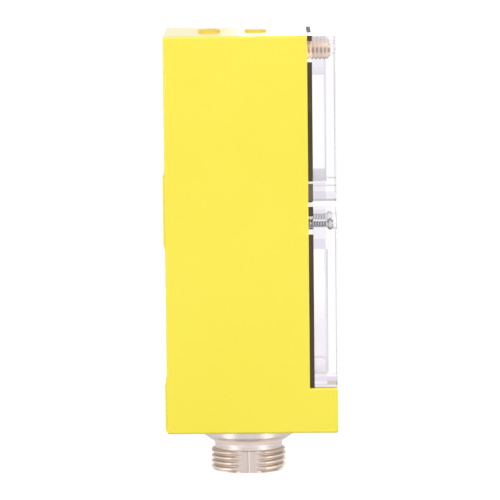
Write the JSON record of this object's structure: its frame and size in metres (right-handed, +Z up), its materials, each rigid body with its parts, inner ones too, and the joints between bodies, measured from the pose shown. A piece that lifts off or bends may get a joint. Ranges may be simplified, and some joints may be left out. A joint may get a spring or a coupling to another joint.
{
  "type": "light screen receiver",
  "caption": "Slim upright photoelectric receiver: moulded housing, clear front covers over columns of lenses, tapped rear pads for mounting and a round threaded connector below.",
  "frame": {"origin": "centre of the four mounting inserts, on the plane of the rear pads", "axes": "+X out of the clear covers, Y across the width, +Z up, away from the connector"},
  "size_m": [0.051, 0.0446, 0.1318],
  "materials": {
    "housing_yellow": "glossy moulded plastic with a faint grain",
    "cover_clear": "clear moulded acrylic, polished",
    "gasket_black": "matte closed-cell rubber",
    "pad_grey": "dusty closed-cell rubber",
    "bush_brass": "turned brass",
    "screw_steel": "plain stainless steel",
    "connector_nickel": "nickel plate on a die casting",
    "insert_black": "moulded insulator",
    "pin_gold": "gold-flashed contact",
    "indicator_amber": "translucent amber plastic",
    "carrier_black": "fine-textured black plastic",
    "lens_tint": "tinted moulded lens",
    "board_green": "solder-masked laminate",
    "chip_black": "moulded component body",
    "shield_tin": "tin plate",
    "capacitor_can": "plain drawn can",
    "diode_amber": "cast amber resin",
    "insert_brass": "turned brass"
  },
  "bodies": {
    "root": {"housing": "housing_yellow", "upper_gasket": "gasket_black", "lip_pads": "pad_grey", "lower_gasket": "gasket_black", "upper_cover": "cover_clear", "lower_cover": "cover_clear", "cover_bushes": "bush_brass", "cover_screws": "screw_steel", "optics_carrier": "carrier_black", "lower_lenses": "lens_tint", "upper_lenses": "lens_tint", "photodiodes": "chip_black", "main_board": "board_green", "board_screws": "screw_steel", "processor_chip": "chip_black", "amplifier_shield": "shield_tin", "supply_capacitors": "capacitor_can", "connector_shell": "connector_nickel", "connector_seal": "gasket_black", "connector_locknut": "connector_nickel", "connector_insert": "insert_black", "connector_pins": "pin_gold", "connector_board": "board_green", "board_link": "chip_black", "power_indicator": "indicator_amber", "beam_indicator": "indicator_amber", "indicator_board": "board_green", "indicator_link": "chip_black", "indicator_diodes": "diode_amber", "mounting_inserts": "insert_brass"}
  },
  "joints": []
}
